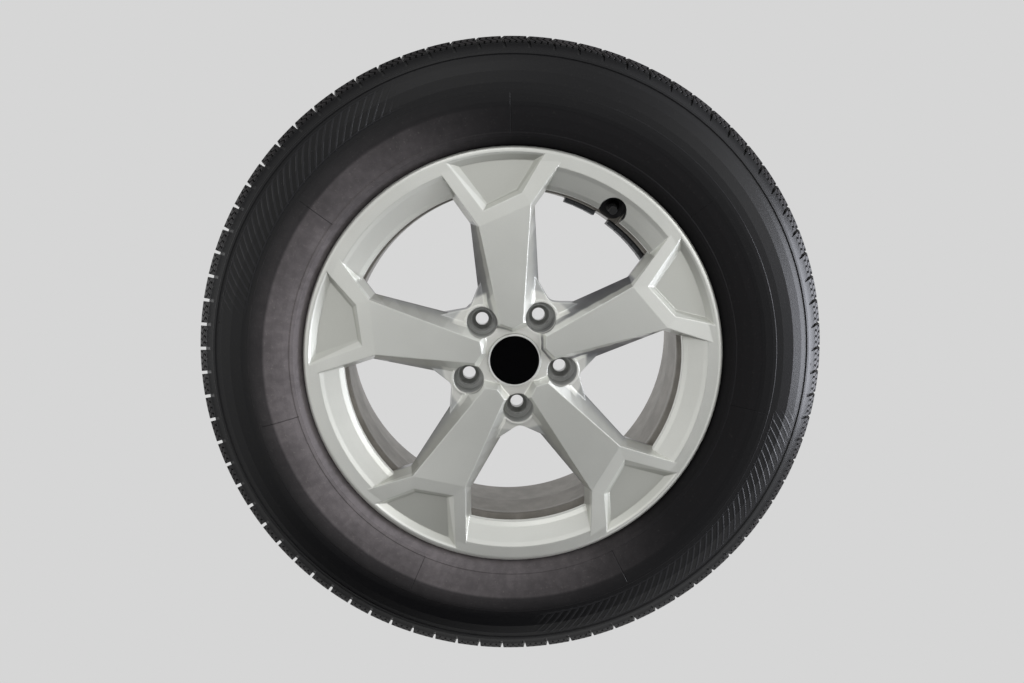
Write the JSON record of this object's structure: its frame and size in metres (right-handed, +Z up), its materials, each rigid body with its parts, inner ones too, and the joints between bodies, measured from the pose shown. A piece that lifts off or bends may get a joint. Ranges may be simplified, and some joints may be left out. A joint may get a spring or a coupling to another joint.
{
  "type": "car wheel and tyre",
  "caption": "Cast alloy car wheel with forked spokes, fitted with a road tyre, a snap-in valve, a centre cap and stick-on balance weights.",
  "frame": {"origin": "middle of the tyre on the wheel's axle, midway between its sidewalls and on the rim's centreline", "axes": "+Y along the axle from the styled face to the hub face, +Z up, +X to the right as seen from the styled face"},
  "size_m": [0.7108, 0.225, 0.7107],
  "materials": {
    "silver_alloy": "satin silver paint under clear lacquer",
    "tyre_rubber": "matt",
    "silver_plastic": "satin silver paint",
    "gloss_black_plastic": "gloss",
    "spring_steel": "bright",
    "valve_rubber": "matt",
    "brass": "turned",
    "black_plastic": "matt",
    "seal_rubber": "matt",
    "core_seal": "matt",
    "coated_weight": "grey coated",
    "foam_tape": "matt"
  },
  "bodies": {
    "wheel": {"rim": "silver_alloy", "tyre": "tyre_rubber", "cap_body": "silver_plastic", "cap_face": "gloss_black_plastic", "cap_wire": "spring_steel", "valve_rubber": "valve_rubber", "valve_stem": "brass", "core_nut": "brass", "core_barrel": "brass", "core_gasket": "core_seal", "core_spring": "spring_steel", "weight_strip_a": "coated_weight", "tape_a": "foam_tape", "weight_strip_b": "coated_weight", "tape_b": "foam_tape"},
    "cap_liner": {"valve_cap_seal": "seal_rubber"},
    "dust_cap": {"valve_cap": "black_plastic"},
    "valve_pin": {"core_pin": "brass", "core_cup": "brass", "core_cup_seal": "core_seal"}
  },
  "joints": [
    {"name": "cap_rise", "type": "slide", "parent": "wheel", "child": "cap_liner", "axis": [-0.1128, -0.9781, -0.1747], "range_m": [0, 0.00556]},
    {"name": "cap_turn", "type": "hinge", "parent": "cap_liner", "child": "dust_cap", "pos_m": [0.11174, -0.0579, 0.17306], "axis": [-0.1128, -0.9781, -0.1747], "range_deg": [0, 2520]},
    {"name": "pin_press", "type": "slide", "parent": "wheel", "child": "valve_pin", "axis": [0.1128, 0.9781, 0.1747], "range_m": [0, 0.0015], "stiffness_N_per_m": 800, "springref_m": -0.001, "deforming": ["core_spring"]}
  ],
  "couplings": [
    {"joint": "cap_turn", "follows": "cap_rise", "rad_per_m": 7915.8}
  ]
}
